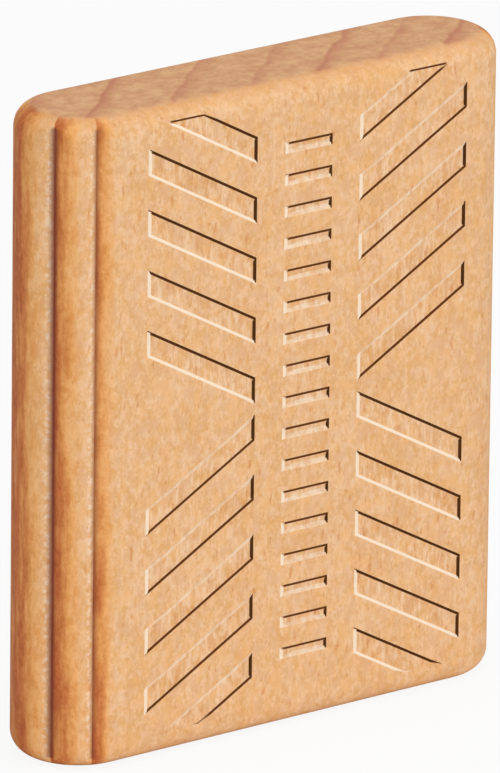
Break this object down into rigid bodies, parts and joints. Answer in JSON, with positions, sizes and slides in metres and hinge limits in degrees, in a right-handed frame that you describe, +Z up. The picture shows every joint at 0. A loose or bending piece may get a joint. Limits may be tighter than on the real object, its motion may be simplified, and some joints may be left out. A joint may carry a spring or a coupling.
{
  "type": "loose tenon",
  "caption": "Flat beech tenon with half-round long edges, glue grooves along them, and slanting glue pockets pressed into both faces.",
  "frame": {"origin": "middle of the lower end, on the surface that the tenon stands on", "axes": "+Z up along the grain and the length, +X across the width, -Y out of the front face"},
  "size_m": [0.017, 0.004, 0.02],
  "materials": {
    "beech": "planed and pressed, unfinished"
  },
  "bodies": {
    "root": {"tenon": "beech"}
  },
  "joints": []
}
